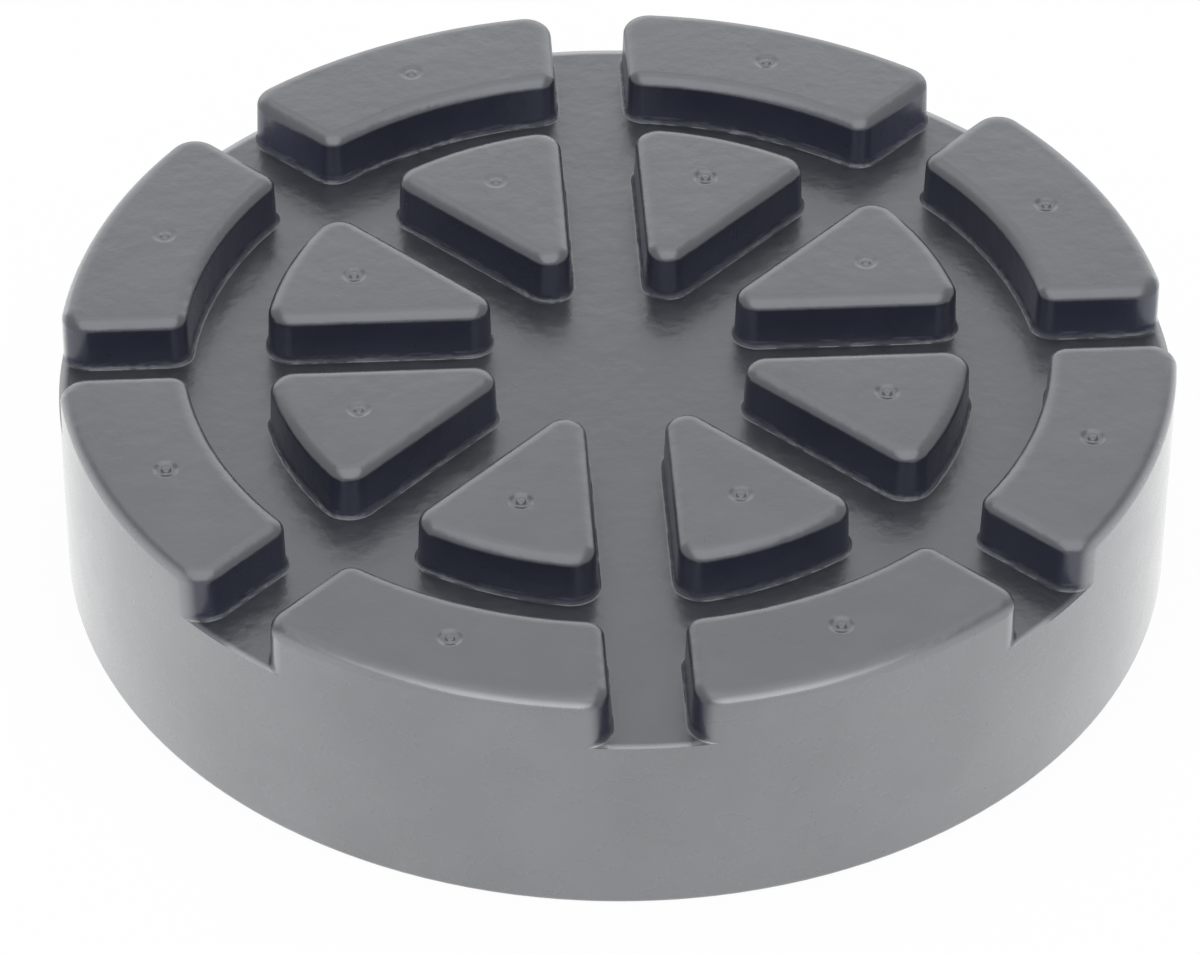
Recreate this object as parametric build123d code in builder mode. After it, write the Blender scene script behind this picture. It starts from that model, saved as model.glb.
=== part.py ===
from build123d import *
from math import hypot, radians, tan
import os

# Lift arm rubber pad: one moulded rubber disc that seats in the round cup at the end of
# a lift arm. Its upper face carries a grip pattern of raised blocks with grooves between.
# Millimetres, origin at the centre of the flat underside, +Z up, one groove along +X.

# Disc
pad_diameter = 120.0
pad_height = 27.2
base_chamfer = 0.6

# Grip pattern: widths across the top face, as they are before its edges are rounded
groove_count = 8
groove_width = 8.4
groove_depth = 5.8
rim_block_width = 13.6
ring_groove_width = 8.5
draft_angle = 2.0

# Upright corners of the blocks, and the edge round the top of each
wedge_tip_radius = 2.5
wedge_corner_radius = 2.8
rim_block_inner_corner_radius = 2.2
rim_block_outer_corner_radius = 3.0
block_edge_radius = 1.2

# Round marks left by the mould's air vents, set in from the arc of each block
wedge_vent_inset = 7.9
rim_block_vent_inset = 7.4
vent_mark_diameter = 2.8
vent_mark_depth = 0.3
vent_nub_diameter = 1.3

# The blocks are formed on a wider blank, which is then trimmed to the pad's wall
blank_margin = 4.0
selection_tolerance = 0.01

pad_radius = pad_diameter / 2
blank_radius = pad_radius + blank_margin
rim_block_inner_radius = pad_radius - rim_block_width
wedge_arc_radius = rim_block_inner_radius - ring_groove_width
wedge_vent_radius = wedge_arc_radius - wedge_vent_inset
rim_block_vent_radius = pad_radius - rim_block_vent_inset
groove_floor_z = pad_height - groove_depth
half_pitch = 360 / groove_count / 2

# The draft makes every block wider at its foot, where the blocks are drawn
foot_spread = groove_depth * tan(radians(draft_angle))
foot_groove_width = groove_width - 2 * foot_spread


def distance_from_axis(edge):
    middle = edge.center()
    return hypot(middle.X, middle.Y)


def climbs_a_block(edge):
    """True for an edge that runs from the groove floor up to the top face."""
    return abs(edge.bounding_box().size.Z - groove_depth) < selection_tolerance


with BuildPart() as pad:
    with BuildSketch():
        Circle(blank_radius)
    extrude(amount=groove_floor_z)

    # Wedge-shaped blocks, their tips towards the clear middle
    with BuildSketch(Plane.XY.offset(groove_floor_z)) as wedges:
        Circle(wedge_arc_radius + foot_spread)
        with PolarLocations(blank_radius / 2, groove_count):
            Rectangle(blank_radius, foot_groove_width, mode=Mode.SUBTRACT)
        wedge_tips = wedges.vertices().group_by(SortBy.DISTANCE)[0]
        fillet(wedge_tips, radius=wedge_tip_radius + foot_spread)
        wedge_corners = wedges.vertices().group_by(SortBy.DISTANCE)[-1]
        fillet(wedge_corners, radius=wedge_corner_radius + foot_spread)
    extrude(amount=groove_depth, taper=draft_angle)

    # Curved blocks round the rim
    with BuildSketch(Plane.XY.offset(groove_floor_z)) as rim_blocks:
        Circle(blank_radius)
        Circle(rim_block_inner_radius - foot_spread, mode=Mode.SUBTRACT)
        with PolarLocations(blank_radius / 2, groove_count):
            Rectangle(blank_radius, foot_groove_width, mode=Mode.SUBTRACT)
        inner_corners = rim_blocks.vertices().group_by(SortBy.DISTANCE)[0]
        fillet(inner_corners, radius=rim_block_inner_corner_radius + foot_spread)
    extrude(amount=groove_depth, taper=draft_angle)

    # The upright outer wall
    with BuildSketch():
        Circle(pad_radius)
    extrude(amount=pad_height, mode=Mode.INTERSECT)

    outer_corners = pad.edges().filter_by(climbs_a_block).group_by(distance_from_axis)[-1]
    fillet(outer_corners, radius=rim_block_outer_corner_radius)

    top_edges = pad.faces().group_by(Axis.Z)[-1].edges()
    fillet(top_edges, radius=block_edge_radius)

    base_edge = pad.faces().sort_by(Axis.Z)[0].edges()
    chamfer(base_edge, length=base_chamfer)

    # Each vent mark is a shallow ring round a nub that stays level with the block
    with BuildSketch(Plane.XY.offset(pad_height)):
        for vent_radius in (wedge_vent_radius, rim_block_vent_radius):
            with PolarLocations(vent_radius, groove_count, start_angle=half_pitch):
                Circle(vent_mark_diameter / 2)
                Circle(vent_nub_diameter / 2, mode=Mode.SUBTRACT)
    extrude(amount=-vent_mark_depth, mode=Mode.SUBTRACT)

pad.part.label = "pad"

os.makedirs("parts", exist_ok=True)
export_step(pad.part, "parts/pad.step")
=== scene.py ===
import math

import bmesh
import bpy
from mathutils import Matrix, Vector


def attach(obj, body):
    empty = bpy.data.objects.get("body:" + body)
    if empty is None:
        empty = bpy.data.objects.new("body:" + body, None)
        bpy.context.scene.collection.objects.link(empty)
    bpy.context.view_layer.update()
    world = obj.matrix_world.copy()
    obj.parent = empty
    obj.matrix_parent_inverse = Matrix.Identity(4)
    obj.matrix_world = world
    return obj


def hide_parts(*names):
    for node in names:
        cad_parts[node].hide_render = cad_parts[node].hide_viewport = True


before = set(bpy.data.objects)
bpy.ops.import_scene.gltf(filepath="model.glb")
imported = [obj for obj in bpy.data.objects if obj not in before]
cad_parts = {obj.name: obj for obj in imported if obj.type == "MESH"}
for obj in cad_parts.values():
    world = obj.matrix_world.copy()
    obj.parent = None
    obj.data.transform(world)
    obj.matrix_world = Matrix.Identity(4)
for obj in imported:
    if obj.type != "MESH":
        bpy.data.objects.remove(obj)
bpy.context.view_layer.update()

# Sizes of the pad in millimetres, as the CAD model has them
pad_radius = 60.0
pad_height = 27.2
groove_count = 8
groove_depth = 5.8
half_groove = 4.2
draft = math.radians(2.0)
rim_block_inner_radius = 46.4
wedge_arc_radius = 37.9
wedge_tip_radius = 2.5
wedge_corner_radius = 2.8
rim_block_inner_corner_radius = 2.2
rim_block_outer_corner_radius = 3.0
wedge_mark_distance = 30.0
rim_block_mark_distance = 52.6

# Finer forms that only the dressed pad has
block_root_radius = 0.5
block_edge_width = 1.8
block_edge_height = 1.2
base_edge_radius = 0.6
base_rim_width = 3.0

# A vent mark: its rings from the edge to the top of the nub, each with its step inwards and its rise
mark_radius = 1.5
mark_segments = 20
mark_rings = ((0.15, -0.02), (0.18, -0.07), (0.18, -0.07), (0.15, -0.02),
              (0.26, 0.0), (0.07, 0.07), (0.06, 0.09), (0.11, 0.02))

# Where a mark's corners are looked for: this near its middle, and this near the top face
mark_search_radius = 1.6
mark_search_depth = 0.4

# How the marks differ: what each one's depth is multiplied by, how far it is shifted, and which way
wedge_mark_depths = (0.8, 1.5, 0.6, 1.3, 1.0, 1.6, 1.2, 1.5)
rim_block_mark_depths = (1.3, 1.0, 0.6, 0.7, 1.5, 1.2, 1.4, 1.5)
mark_shift = 0.3
shift_turn_by_angle = 3
shift_turn_by_depth = 5

# How finely the curves are stepped, and the angle from which an edge is shaded sharp
root_steps = 4
edge_steps = 7
corner_steps = 8
tip_steps = 10
mouth_steps = 5
base_edge_steps = 3
least_arc_steps = 3
arc_step = math.radians(2.3)
sharp_angle = math.radians(60)

# How near points lie to be merged, or to count as on the wall or on the groove floor
merge_gap = 0.001
seam_gap = 0.005
wall_tolerance = 0.01
floor_tolerance = 0.0001

# Sizes that follow from the others
sector = 2 * math.pi / groove_count
floor_height = pad_height - groove_depth
foot_spread = groove_depth * math.tan(draft)
half_groove_at_foot = half_groove - foot_spread

# The pad is drawn in millimetres and brought to metres at the end
millimetre = 0.001
up = (0, 0, 1)


def band_in_metres(level, low, high):
    """From so many to so many millimetres past a level, in metres as the materials need it."""
    return ((level + low) * millimetre, (level + high) * millimetre)


# Where one finish gives way to the next, in height or in distance from the axis
# The floor-to-side and side-to-top bands step the colour through the painted shade of the groove floor and the
# block sides
floor_to_side = band_in_metres(floor_height, 0.05, 0.6)
side_to_top = band_in_metres(pad_height, -1.6, -0.4)
root_begins = band_in_metres(floor_height, 0.02, 0.10)
root_ends = band_in_metres(floor_height, 0.5, 1.0)
inside_to_wall = band_in_metres(pad_radius, -0.9, -0.1)

# Colours and finish of the rubber
block_top_colour = (0.035, 0.038, 0.044, 1)
# The block sides are bluer and slightly darker than the tops: painted shade, the blue cast of walls in shade
block_side_painted_shade_colour = (0.031, 0.034, 0.060, 1)
# The groove floor is painted darker than the block tops: painted shade at the bottom of the grooves
groove_floor_painted_shade_colour = (0.021, 0.024, 0.029, 1)
# The outer wall is painted paler than the rest of the rubber: painted light, standing in for light the lamps
# don't give it
outer_wall_painted_light_colour = (0.146, 0.152, 0.163, 1)
sheen_tint = (0.92, 0.955, 1.0, 1.0)
rubber_gloss_index = 1.8
polish_roughness = 0.12
block_roughness = 0.30
wall_roughness = 0.28
roughness_spread = 0.03
wall_polish = 1.0
mottling = (0.90, 1.10)
root_dullness = (0.25, 0.55)
root_relief = (-0.5, 0.5)

# The part of a noise that is drawn out to its whole range, and the harder one for patches
cloud_band = (0.3, 0.7)
patch_band = (0.40, 0.60)

# Grain of the rubber's patterns, in waves per metre
mottling_grain = 70.0
root_sheen_grain = 160.0
waviness_grain = 200.0
roughness_grain = 240.0
root_relief_grain = 420.0
pebble_grain = 600.0
fine_grain = 1300.0


# Outlines of the blocks

def mirrored(point):
    """The same point on the other side of the sector."""
    x, y = point
    return (x * math.cos(sector) + y * math.sin(sector), x * math.sin(sector) - y * math.cos(sector))


def polar_angle(point):
    return math.atan2(point[1], point[0])


def corners_of(edges):
    """The corners of some edges, each of them once and in a fixed order."""
    return list(dict.fromkeys(corner for edge in edges for corner in edge.verts))


def run_straight(mesh, end, point):
    """Draws a straight run from the end of an outline to a point."""
    made = bmesh.ops.extrude_vert_indiv(mesh, verts=[end])
    tip = made["verts"][0]
    tip.co.x, tip.co.y = point
    return tip


def swing_round(mesh, end, centre, turn, steps):
    """Draws an arc from the end of an outline round a centre."""
    made = bmesh.ops.spin(mesh, geom=[end], cent=(centre[0], centre[1], end.co.z),
                          axis=up, angle=turn, steps=steps)
    return [part for part in made["geom_last"] if isinstance(part, bmesh.types.BMVert)][0]


def steps_of_arc(turn):
    return max(least_arc_steps, round(abs(turn) / arc_step))


def closed_outline(mesh, known_edges):
    """Joins the two ends of the outline just drawn and returns its edges."""
    drawn = [edge for edge in mesh.edges if edge not in known_edges]
    bmesh.ops.remove_doubles(mesh, verts=corners_of(drawn), dist=merge_gap)
    return [edge for edge in mesh.edges if edge not in known_edges]


def wedge_outline(mesh, spread, height):
    """One section of a wedge: its foot outline, spread outwards by so much."""
    known = set(mesh.edges)
    side = half_groove_at_foot - spread
    tip_distance = (half_groove_at_foot + wedge_tip_radius) / math.sin(sector / 2)
    tip_centre = (tip_distance * math.cos(sector / 2), tip_distance * math.sin(sector / 2))
    reach = wedge_arc_radius + foot_spread - wedge_corner_radius
    corner_y = half_groove_at_foot + wedge_corner_radius
    corner_centre = (math.sqrt(reach ** 2 - corner_y ** 2), corner_y)
    lean = polar_angle(corner_centre)
    arc_turn = sector - 2 * lean

    end = mesh.verts.new((tip_centre[0], side, height))
    end = run_straight(mesh, end, (corner_centre[0], side))
    end = swing_round(mesh, end, corner_centre, math.pi / 2 + lean, corner_steps)
    end = swing_round(mesh, end, (0, 0), arc_turn, steps_of_arc(arc_turn))
    end = swing_round(mesh, end, mirrored(corner_centre), math.pi / 2 + lean, corner_steps)
    end = run_straight(mesh, end, mirrored((tip_centre[0], side)))
    swing_round(mesh, end, tip_centre, math.pi - sector, tip_steps)
    return closed_outline(mesh, known)


def rim_outer_corner(spread, tuck):
    """Centre of a rim block's outer corner, and the radius there."""
    radius = rim_block_outer_corner_radius - tuck
    corner_y = half_groove_at_foot - spread + radius
    reach = pad_radius - rim_block_outer_corner_radius
    return (math.sqrt(reach ** 2 - corner_y ** 2), corner_y), radius


def rim_block_outline(mesh, spread, height, tuck):
    """One section of a rim block. Its outer side stays on the pad's wall, and tucks in at the top edge."""
    known = set(mesh.edges)
    side = half_groove_at_foot - spread
    inner_reach = rim_block_inner_radius - foot_spread + rim_block_inner_corner_radius
    inner_y = half_groove_at_foot + rim_block_inner_corner_radius
    inner_centre = (math.sqrt(inner_reach ** 2 - inner_y ** 2), inner_y)
    inner_lean = polar_angle(inner_centre)
    inner_turn = sector - 2 * inner_lean
    outer_centre = rim_outer_corner(spread, tuck)[0]
    outer_lean = polar_angle(outer_centre)
    outer_turn = sector - 2 * outer_lean

    end = mesh.verts.new((inner_centre[0], side, height))
    end = run_straight(mesh, end, (outer_centre[0], side))
    end = swing_round(mesh, end, outer_centre, math.pi / 2 + outer_lean, corner_steps)
    end = swing_round(mesh, end, (0, 0), outer_turn, steps_of_arc(outer_turn))
    end = swing_round(mesh, end, mirrored(outer_centre), math.pi / 2 + outer_lean, corner_steps)
    end = run_straight(mesh, end, mirrored((inner_centre[0], side)))
    end = swing_round(mesh, end, mirrored(inner_centre), math.pi / 2 - inner_lean, corner_steps)
    end = swing_round(mesh, end, (0, 0), -inner_turn, steps_of_arc(inner_turn))
    swing_round(mesh, end, inner_centre, math.pi / 2 - inner_lean, corner_steps)
    return closed_outline(mesh, known)


def block_sections():
    """Spread, height above the groove floor and tuck of each section of a block, from its root up."""
    sections = []
    root_centre = block_root_radius * (math.cos(draft) - (1 - math.sin(draft)) * math.tan(draft))
    for step in range(root_steps + 1):
        angle = -math.pi / 2 + (math.pi / 2 - draft) * step / root_steps
        spread = root_centre - block_root_radius * math.cos(angle)
        sections.append((spread, block_root_radius * (1 + math.sin(angle)), 0.0))

    # The top edge is a quarter of an ellipse, which the drafted wall meets without a crease
    edge_foot = groove_depth - block_edge_height
    first_angle = math.atan(block_edge_height / block_edge_width * math.tan(draft))
    wall_top = edge_foot + block_edge_height * math.sin(first_angle)
    edge_centre = wall_top * math.tan(draft) + block_edge_width * math.cos(first_angle)
    for step in range(edge_steps + 1):
        angle = first_angle + (math.pi / 2 - first_angle) * step / edge_steps
        spread = block_edge_width * math.cos(angle) - edge_centre
        tuck = block_edge_width * (1 - math.cos(angle))
        sections.append((spread, edge_foot + block_edge_height * math.sin(angle), tuck))
    return sections


# The pad

def fill_flat(mesh, edges):
    """Fills a flat area between outlines, holes left open."""
    bmesh.ops.triangle_fill(mesh, use_beauty=True, use_dissolve=False, edges=edges)


def close_top(mesh, outline, mark_distance):
    """The flat top of a block, with the round mark of the mould's air vent: a shallow ring round a nub."""
    place = Matrix.Rotation(sector / 2, 4, "Z") @ Matrix.Translation((mark_distance, 0, pad_height))
    made = bmesh.ops.create_circle(mesh, cap_ends=True, radius=mark_radius, segments=mark_segments, matrix=place)
    face = made["verts"][0].link_faces[0]
    if face.normal.z < 0:
        face.normal_flip()
    fill_flat(mesh, outline + list(face.edges))
    for inwards, rise in mark_rings:
        bmesh.ops.inset_individual(mesh, faces=[face], thickness=inwards, depth=rise, use_even_offset=True)


def vary_marks(mesh, mark_distance, depths):
    """No two vents filled quite alike, so each mark gets its own depth and a slight shift its own way."""
    for index, depth in enumerate(depths):
        angle = sector * (index + 0.5)
        middle = Vector((mark_distance * math.cos(angle), mark_distance * math.sin(angle)))
        corners = [corner for corner in mesh.verts
                   if corner.co.z > pad_height - mark_search_depth
                   and (corner.co.xy - middle).length < mark_search_radius]
        bmesh.ops.scale(mesh, vec=(1, 1, depth), space=Matrix.Translation((0, 0, -pad_height)), verts=corners)
        own_way = angle * shift_turn_by_angle + depth * shift_turn_by_depth
        shift = Matrix.Rotation(own_way, 2) @ Vector((mark_shift, 0))
        bmesh.ops.translate(mesh, vec=(shift.x, shift.y, 0), verts=corners)


def raise_block(mesh, outlines, mark_distance):
    """Joins a block's sections into its walls, and closes its top. Returns its foot outline."""
    for lower, upper in zip(outlines, outlines[1:]):
        bmesh.ops.bridge_loops(mesh, edges=lower + upper)
    close_top(mesh, outlines[-1], mark_distance)
    return outlines[0]


def raise_wedge(mesh):
    outlines = [wedge_outline(mesh, spread, floor_height + rise) for spread, rise, tuck in block_sections()]
    return raise_block(mesh, outlines, wedge_mark_distance)


def raise_rim_block(mesh):
    outlines = [rim_block_outline(mesh, spread, floor_height + rise, tuck)
                for spread, rise, tuck in block_sections()]
    return raise_block(mesh, outlines, rim_block_mark_distance)


def on_the_wall(edge):
    return all(abs(math.hypot(corner.co.x, corner.co.y) - pad_radius) < wall_tolerance for corner in edge.verts)


def on_the_groove_floor(edge):
    return all(abs(corner.co.z - floor_height) < floor_tolerance for corner in edge.verts)


def lay_groove_floor(mesh, rim_foot):
    """The floor of one sector, up to the mouths of its two half grooves. Returns the edges along the wall."""
    widest = block_sections()[0][0]
    mouth_angle = polar_angle(rim_outer_corner(widest, 0.0)[0])
    known = set(mesh.edges)
    middle = mesh.verts.new((0, 0, floor_height))
    for side, turn in ((0.0, mouth_angle), (sector, -mouth_angle)):
        end = run_straight(mesh, middle, (pad_radius * math.cos(side), pad_radius * math.sin(side)))
        swing_round(mesh, end, (0, 0), turn, mouth_steps)
    drawn = [edge for edge in mesh.edges if edge not in known]
    bmesh.ops.remove_doubles(mesh, verts=corners_of(drawn + rim_foot), dist=seam_gap)

    floor_lines = [edge for edge in mesh.edges if on_the_groove_floor(edge)]
    wall_line = [edge for edge in floor_lines if on_the_wall(edge)]
    block_side = [edge for edge in wall_line if edge.link_faces]
    fill_flat(mesh, [edge for edge in floor_lines if edge not in block_side])
    return wall_line


def drop_outer_wall(mesh, wall_line):
    """The wall from the groove floor down, its rounded lower edge and the flat underside."""
    levels = []
    for step in range(base_edge_steps + 1):
        angle = math.pi / 2 * step / base_edge_steps
        levels.append((pad_radius - base_edge_radius * (1 - math.cos(angle)),
                       base_edge_radius * (1 - math.sin(angle))))
    levels.append((pad_radius - base_rim_width, 0.0))
    levels.append((0.0, 0.0))
    ring = wall_line
    for radius, height in levels:
        made = bmesh.ops.extrude_edge_only(mesh, edges=ring)
        ring = [part for part in made["geom"] if isinstance(part, bmesh.types.BMEdge)]
        for corner in corners_of(ring):
            around = math.atan2(corner.co.y, corner.co.x)
            corner.co = (radius * math.cos(around), radius * math.sin(around), height)


def pad_mesh():
    """One sector of the pad, repeated round the axis and merged into a closed mesh."""
    mesh = bmesh.new()
    raise_wedge(mesh)
    rim_foot = raise_rim_block(mesh)
    wall_line = lay_groove_floor(mesh, rim_foot)
    drop_outer_wall(mesh, wall_line)
    whole = mesh.verts[:] + mesh.edges[:] + mesh.faces[:]
    bmesh.ops.spin(mesh, geom=whole, cent=(0, 0, 0), axis=up, angle=2 * math.pi - sector,
                   steps=groove_count - 1, use_duplicate=True)
    bmesh.ops.remove_doubles(mesh, verts=mesh.verts[:], dist=merge_gap)
    vary_marks(mesh, wedge_mark_distance, wedge_mark_depths)
    vary_marks(mesh, rim_block_mark_distance, rim_block_mark_depths)
    bmesh.ops.recalc_face_normals(mesh, faces=mesh.faces[:])
    bmesh.ops.scale(mesh, vec=(millimetre, millimetre, millimetre), verts=mesh.verts[:])
    return mesh


def make_pad():
    """The dressed pad, which stands in for the CAD solid."""
    mesh = pad_mesh()
    for face in mesh.faces:
        face.smooth = True
    for edge in mesh.edges:
        if edge.calc_face_angle(0.0) > sharp_angle:
            edge.smooth = False
    data = bpy.data.meshes.new("rubber_pad")
    mesh.to_mesh(data)
    mesh.free()
    pad = bpy.data.objects.new("rubber_pad", data)
    bpy.context.scene.collection.objects.link(pad)
    even = pad.modifiers.new("even_shading", "WEIGHTED_NORMAL")
    even.keep_sharp = True
    data.materials.append(rubber_material())
    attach(pad, "root")
    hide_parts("pad")


# Materials

def node(tree, kind, **settings):
    made = tree.nodes.new(kind)
    for name, value in settings.items():
        setattr(made, name, value)
    return made


def ramp(tree, source, band, values=(0.0, 1.0)):
    """A soft step from one value to another as the source goes through a band."""
    step = node(tree, "ShaderNodeMapRange", interpolation_type="SMOOTHSTEP")
    step.inputs["From Min"].default_value, step.inputs["From Max"].default_value = band
    step.inputs["To Min"].default_value, step.inputs["To Max"].default_value = values
    tree.links.new(source, step.inputs["Value"])
    return step.outputs["Result"]


def combined(tree, operation, first, second, **settings):
    """Two values added or multiplied."""
    maths = node(tree, "ShaderNodeMath", operation=operation, **settings)
    tree.links.new(first, maths.inputs[0])
    tree.links.new(second, maths.inputs[1])
    return maths.outputs[0]


def clouds(tree, place, grain, detail, values=None, band=cloud_band):
    """Noise of one grain, as it is or drawn out between two values."""
    noise = node(tree, "ShaderNodeTexNoise")
    noise.inputs["Scale"].default_value = grain
    noise.inputs["Detail"].default_value = detail
    tree.links.new(place, noise.inputs["Vector"])
    if values is None:
        return noise.outputs["Fac"]
    return ramp(tree, noise.outputs["Fac"], band, values)


def bumps(tree, height, strength, distance, under=None):
    """Raises the surface by a pattern, on top of the bumps made before."""
    bump = node(tree, "ShaderNodeBump")
    bump.inputs["Strength"].default_value = strength
    bump.inputs["Distance"].default_value = distance
    tree.links.new(height, bump.inputs["Height"])
    if under:
        tree.links.new(under, bump.inputs["Normal"])
    return bump.outputs["Normal"]


def colour_step(tree, below, above, amount):
    """Mixes a colour, or a colour made so far, into another by an amount."""
    mix = node(tree, "ShaderNodeMix", data_type="RGBA")
    if isinstance(below, tuple):
        mix.inputs["A"].default_value = below
    else:
        tree.links.new(below, mix.inputs["A"])
    mix.inputs["B"].default_value = above
    tree.links.new(amount, mix.inputs["Factor"])
    return mix.outputs["Result"]


def distance_from_axis(tree, apart):
    flat = node(tree, "ShaderNodeCombineXYZ")
    tree.links.new(apart.outputs["X"], flat.inputs["X"])
    tree.links.new(apart.outputs["Y"], flat.inputs["Y"])
    length = node(tree, "ShaderNodeVectorMath", operation="LENGTH")
    tree.links.new(flat.outputs[0], length.inputs[0])
    return length.outputs["Value"]


def rubber_colour(tree, place, height, outer_wall):
    """Groove floor, block side, block top and outer wall in turn, all slightly mottled. The darker floor and the
    bluer sides are painted shade, and the paler outer wall is painted light.
    """
    colour = colour_step(tree, groove_floor_painted_shade_colour, block_side_painted_shade_colour, ramp(tree, height, floor_to_side))
    colour = colour_step(tree, colour, block_top_colour, ramp(tree, height, side_to_top))
    colour = colour_step(tree, colour, outer_wall_painted_light_colour, outer_wall)
    shade = node(tree, "ShaderNodeVectorMath", operation="SCALE")
    tree.links.new(colour, shade.inputs[0])
    tree.links.new(clouds(tree, place, mottling_grain, detail=3.0, values=mottling), shade.inputs["Scale"])
    return shade.outputs[0]


def rubber_roughness(tree, place, smoother_wall, at_root):
    """Cloudy, a little smoother on the outer wall, and duller in uneven stretches along the roots."""
    least, most = block_roughness - roughness_spread, block_roughness + roughness_spread
    roughness = clouds(tree, place, roughness_grain, detail=4.0, values=(least, most))
    roughness = combined(tree, "ADD", roughness, smoother_wall)
    dullness = clouds(tree, place, root_sheen_grain, detail=2.0, values=root_dullness, band=patch_band)
    return combined(tree, "ADD", roughness, combined(tree, "MULTIPLY", at_root, dullness))


def rubber_relief(tree, place, inside, at_root):
    """Fine grain everywhere, pebbles and waviness inside the outer wall, and an uneven line along the roots."""
    grain = clouds(tree, place, fine_grain, detail=3.0)
    pebbles = combined(tree, "MULTIPLY", inside, clouds(tree, place, pebble_grain, detail=2.0))
    waviness = combined(tree, "MULTIPLY", inside, clouds(tree, place, waviness_grain, detail=1.0))
    unevenness = clouds(tree, place, root_relief_grain, detail=2.0, values=root_relief)
    root_line = combined(tree, "MULTIPLY", at_root, unevenness)
    relief = bumps(tree, grain, strength=0.10, distance=0.00005)
    relief = bumps(tree, pebbles, strength=0.30, distance=0.0002, under=relief)
    relief = bumps(tree, waviness, strength=0.25, distance=0.0003, under=relief)
    return bumps(tree, root_line, strength=0.4, distance=0.0005, under=relief)


def rubber_material():
    """Dark moulded rubber, one material in tones of painted light and shade: satin tops, bluer sides and a
    darker, smooth groove floor as painted shade, and a polished outer wall made paler as painted light.
    """
    material = bpy.data.materials.new("pad_rubber")
    material.use_nodes = True
    tree = material.node_tree
    shader = tree.nodes["Principled BSDF"]
    shader.inputs["IOR"].default_value = rubber_gloss_index
    shader.inputs["Specular Tint"].default_value = sheen_tint
    shader.inputs["Coat Roughness"].default_value = polish_roughness
    shader.inputs["Coat IOR"].default_value = rubber_gloss_index

    place = node(tree, "ShaderNodeTexCoord").outputs["Object"]
    apart = node(tree, "ShaderNodeSeparateXYZ")
    tree.links.new(place, apart.inputs[0])
    height = apart.outputs["Z"]
    radius = distance_from_axis(tree, apart)
    # Mask of the outer wall, by which its painted light (the paler colour) is laid on
    outer_wall = ramp(tree, radius, inside_to_wall)
    inside = ramp(tree, radius, inside_to_wall, (1.0, 0.0))
    smoother_wall = ramp(tree, radius, inside_to_wall, (0.0, wall_roughness - block_roughness))
    polish = ramp(tree, radius, inside_to_wall, (0.0, wall_polish))
    near_floor = combined(tree, "MULTIPLY", ramp(tree, height, root_begins),
                          ramp(tree, height, root_ends, (1.0, 0.0)))
    at_root = combined(tree, "MULTIPLY", near_floor, inside)

    tree.links.new(rubber_colour(tree, place, height, outer_wall), shader.inputs["Base Color"])
    tree.links.new(rubber_roughness(tree, place, smoother_wall, at_root), shader.inputs["Roughness"])
    tree.links.new(polish, shader.inputs["Coat Weight"])
    tree.links.new(rubber_relief(tree, place, inside, at_root), shader.inputs["Normal"])
    return material


def seen_ray(tree, unseen, seen):
    """One value for the rays that show the background, to the camera or in a reflection, and one for the rest."""
    path = node(tree, "ShaderNodeLightPath")
    shown = combined(tree, "ADD", path.outputs["Is Camera Ray"], path.outputs["Is Glossy Ray"], use_clamp=True)
    shown = combined(tree, "ADD", shown, path.outputs["Is Transmission Ray"], use_clamp=True)
    return ramp(tree, shown, (0.0, 1.0), (unseen, seen))


def floor_material():
    """A matt white floor that takes the object's shadow, with a plain white glow over it where it is seen."""
    material = bpy.data.materials.new("studio_floor_white")
    material.use_nodes = True
    tree = material.node_tree
    shader = tree.nodes["Principled BSDF"]
    shader.inputs["Base Color"].default_value = (0.95, 0.95, 0.95, 1.0)
    shader.inputs["Roughness"].default_value = 1.0
    shader.inputs["Specular IOR Level"].default_value = 0.0
    glow = node(tree, "ShaderNodeEmission")
    glow.inputs["Color"].default_value = (1, 1, 1, 1)
    glow.inputs["Strength"].default_value = 1.0
    blend = node(tree, "ShaderNodeMixShader")
    tree.links.new(seen_ray(tree, unseen=0.0, seen=0.96), blend.inputs["Fac"])
    tree.links.new(shader.outputs["BSDF"], blend.inputs[1])
    tree.links.new(glow.outputs["Emission"], blend.inputs[2])
    tree.links.new(blend.outputs["Shader"], tree.nodes["Material Output"].inputs["Surface"])
    return material


# Studio

def studio_floor():
    bpy.ops.mesh.primitive_plane_add(size=4.0, location=(0, 0, 0))
    floor = bpy.context.object
    floor.name = "studio_floor"
    floor.data.materials.append(floor_material())


def studio_world():
    world = bpy.data.worlds.new("studio_world")
    bpy.context.scene.world = world
    world.use_nodes = True
    background = world.node_tree.nodes["Background"]
    background.inputs["Color"].default_value = (1, 1, 1, 1)
    strength = seen_ray(world.node_tree, unseen=0.05, seen=1.0)
    world.node_tree.links.new(strength, background.inputs["Strength"])


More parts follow.
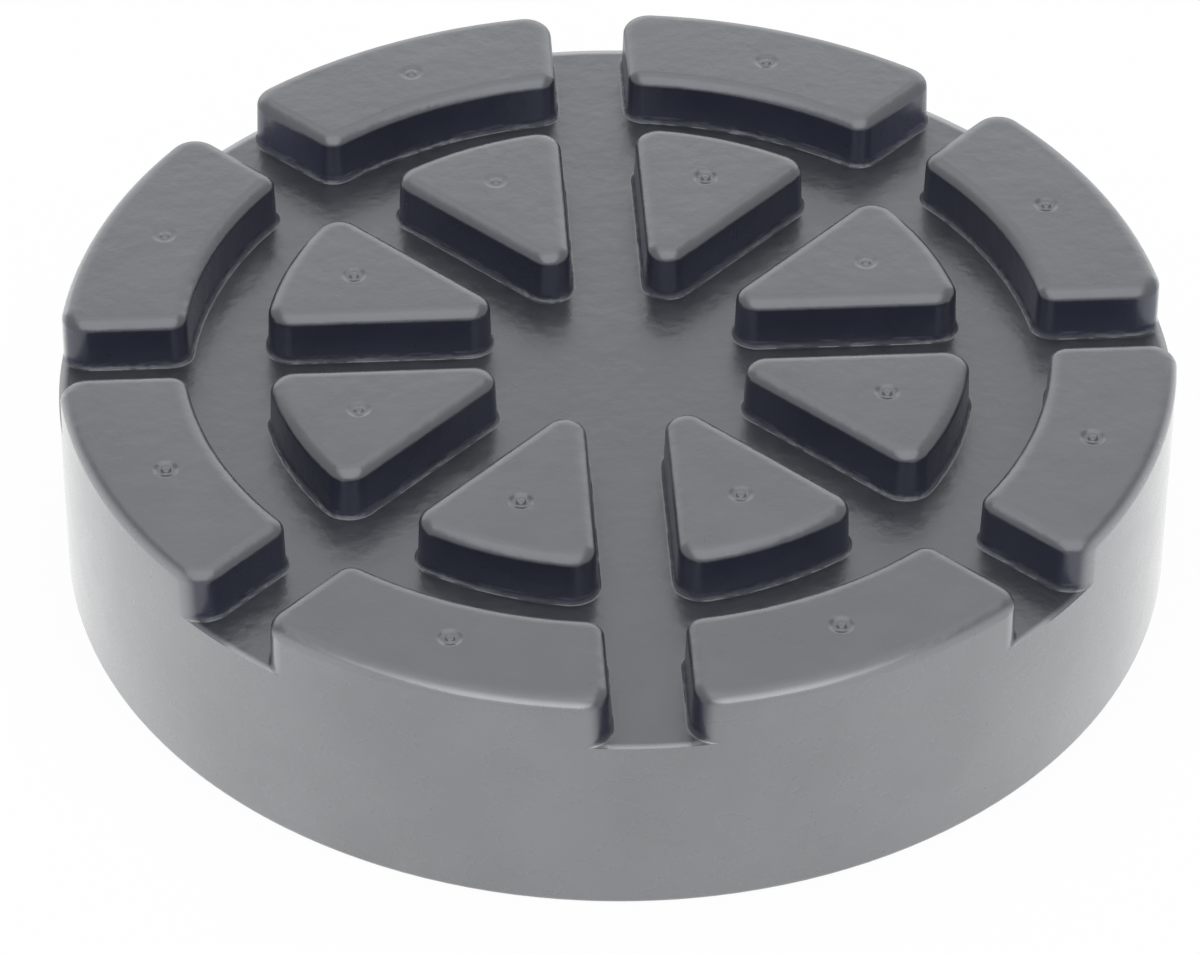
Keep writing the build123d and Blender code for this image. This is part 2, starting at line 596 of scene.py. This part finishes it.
def soft_box(name, place, aim, width, height, power):
    """A rectangular lamp that faces a point. Lengths are in metres and the power is in watts."""
    lamp = bpy.data.lights.new(name, "AREA")
    lamp.shape = "RECTANGLE"
    lamp.size = width
    lamp.size_y = height
    lamp.energy = power
    holder = bpy.data.objects.new(name, lamp)
    bpy.context.scene.collection.objects.link(holder)
    holder.location = place
    holder.rotation_euler = (Vector(aim) - Vector(place)).to_track_quat("-Z", "Y").to_euler()
    return holder


def studio_lights():
    soft_box("back_low_panel", place=(0, 0.60, 0.23), aim=(0, 0, 0.23),
             width=1.2, height=0.46, power=1.70)
    soft_box("back_high_panel", place=(0, 0.60, 0.57), aim=(0, 0, 0.57),
             width=1.2, height=0.22, power=0.25)
    soft_box("overhead_panel", place=(0, 0.40, 0.74), aim=(0, 0.179, 0.002),
             width=0.8, height=0.42, power=1.15)
    soft_box("front_soft_box", place=(0, -0.245, 0.615), aim=(0, 0.008, 0.006),
             width=0.9, height=0.964, power=4.9)
    for name, side in (("low_left_panel", -1), ("low_right_panel", 1)):
        panel = soft_box(name, place=(side * 0.40, 0.12, 0.012), aim=(0, 0, 0.012),
                         width=0.4, height=0.024, power=0.9)
        panel.visible_glossy = False


def photo_camera():
    """The camera that the outline, the grooves and the arcs in the photograph were fitted with."""
    lens = bpy.data.cameras.new("photo_camera")
    lens.sensor_fit = "HORIZONTAL"
    lens.sensor_width = 36.0
    lens.lens = 182.1
    lens.clip_end = 10.0
    camera = bpy.data.objects.new("photo_camera", lens)
    bpy.context.scene.collection.objects.link(camera)
    place = Vector((-0.03358, -0.51012, 0.43083))
    aim = Vector((-0.00172, 0.00011, 0.00712))
    roll = math.radians(0.365)
    facing = (aim - place).to_track_quat("-Z", "Y").to_matrix() @ Matrix.Rotation(roll, 3, "Z")
    camera.matrix_world = Matrix.Translation(place) @ facing.to_4x4()
    bpy.context.scene.camera = camera


bpy.context.scene.view_settings.view_transform = "Standard"
photo_camera()
studio_world()
studio_floor()
studio_lights()
make_pad()
